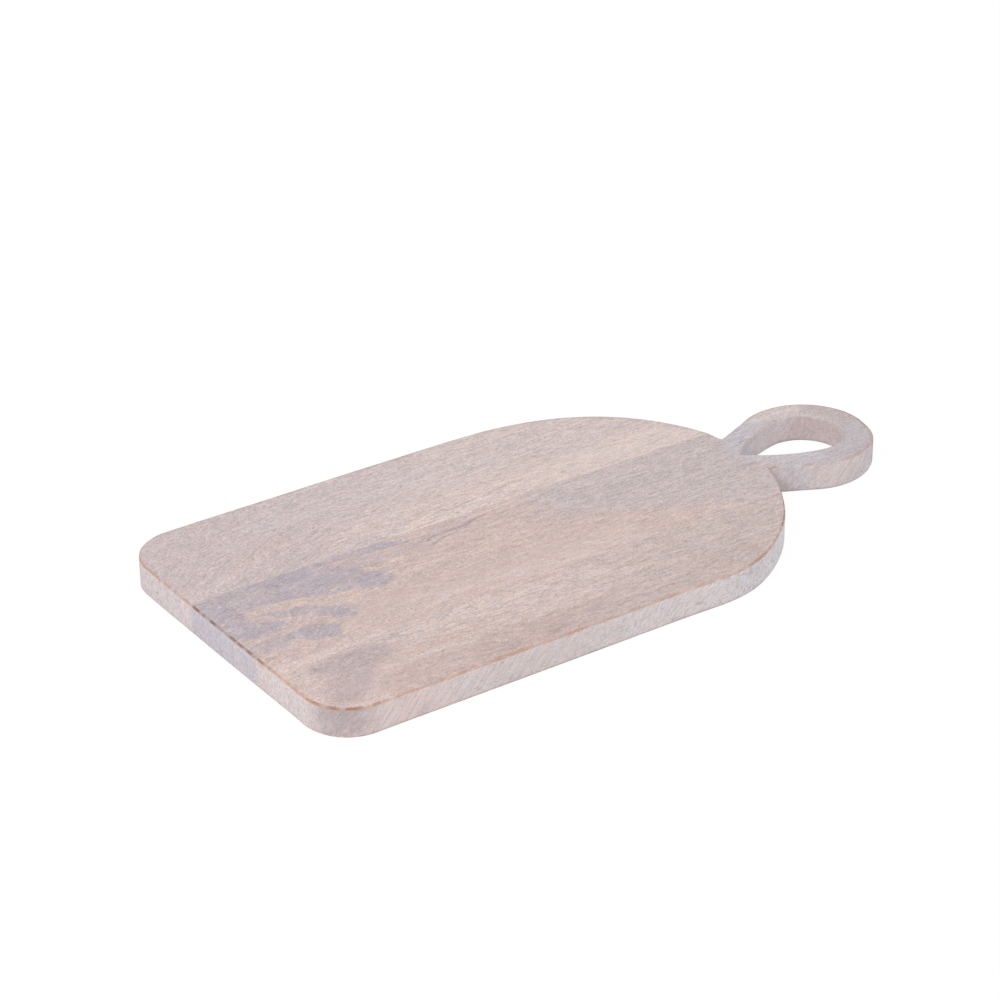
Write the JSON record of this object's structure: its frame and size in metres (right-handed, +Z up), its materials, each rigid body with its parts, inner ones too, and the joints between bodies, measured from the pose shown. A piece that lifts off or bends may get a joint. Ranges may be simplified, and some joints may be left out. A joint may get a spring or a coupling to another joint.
{
  "type": "cutting board",
  "caption": "Flat wooden cutting and serving board of edge-glued staves, with rounded front corners, an arched far end and a teardrop loop handle to carry or hang it by.",
  "frame": {"origin": "centre of the footprint, at the underside that rests on the table", "axes": "+X along the board towards the handle loop, +Y towards the rear stave, +Z up through the thickness"},
  "size_m": [0.3948, 0.2, 0.0164],
  "materials": {
    "rear_wood": "matt limed wood, pale beige beside the joint",
    "centre_wood": "matt limed wood with a blue-grey stain at the front end",
    "front_wood": "matt limed wood, warm brown-grey",
    "cured_glue": "cured wood glue, flush with the faces"
  },
  "bodies": {
    "root": {"rear_stave": "rear_wood", "centre_stave": "centre_wood", "front_stave": "front_wood", "handle_rear_cheek": "rear_wood", "rear_glue_line": "cured_glue", "front_glue_line": "cured_glue", "handle_rear_glue_line": "cured_glue"}
  },
  "joints": []
}
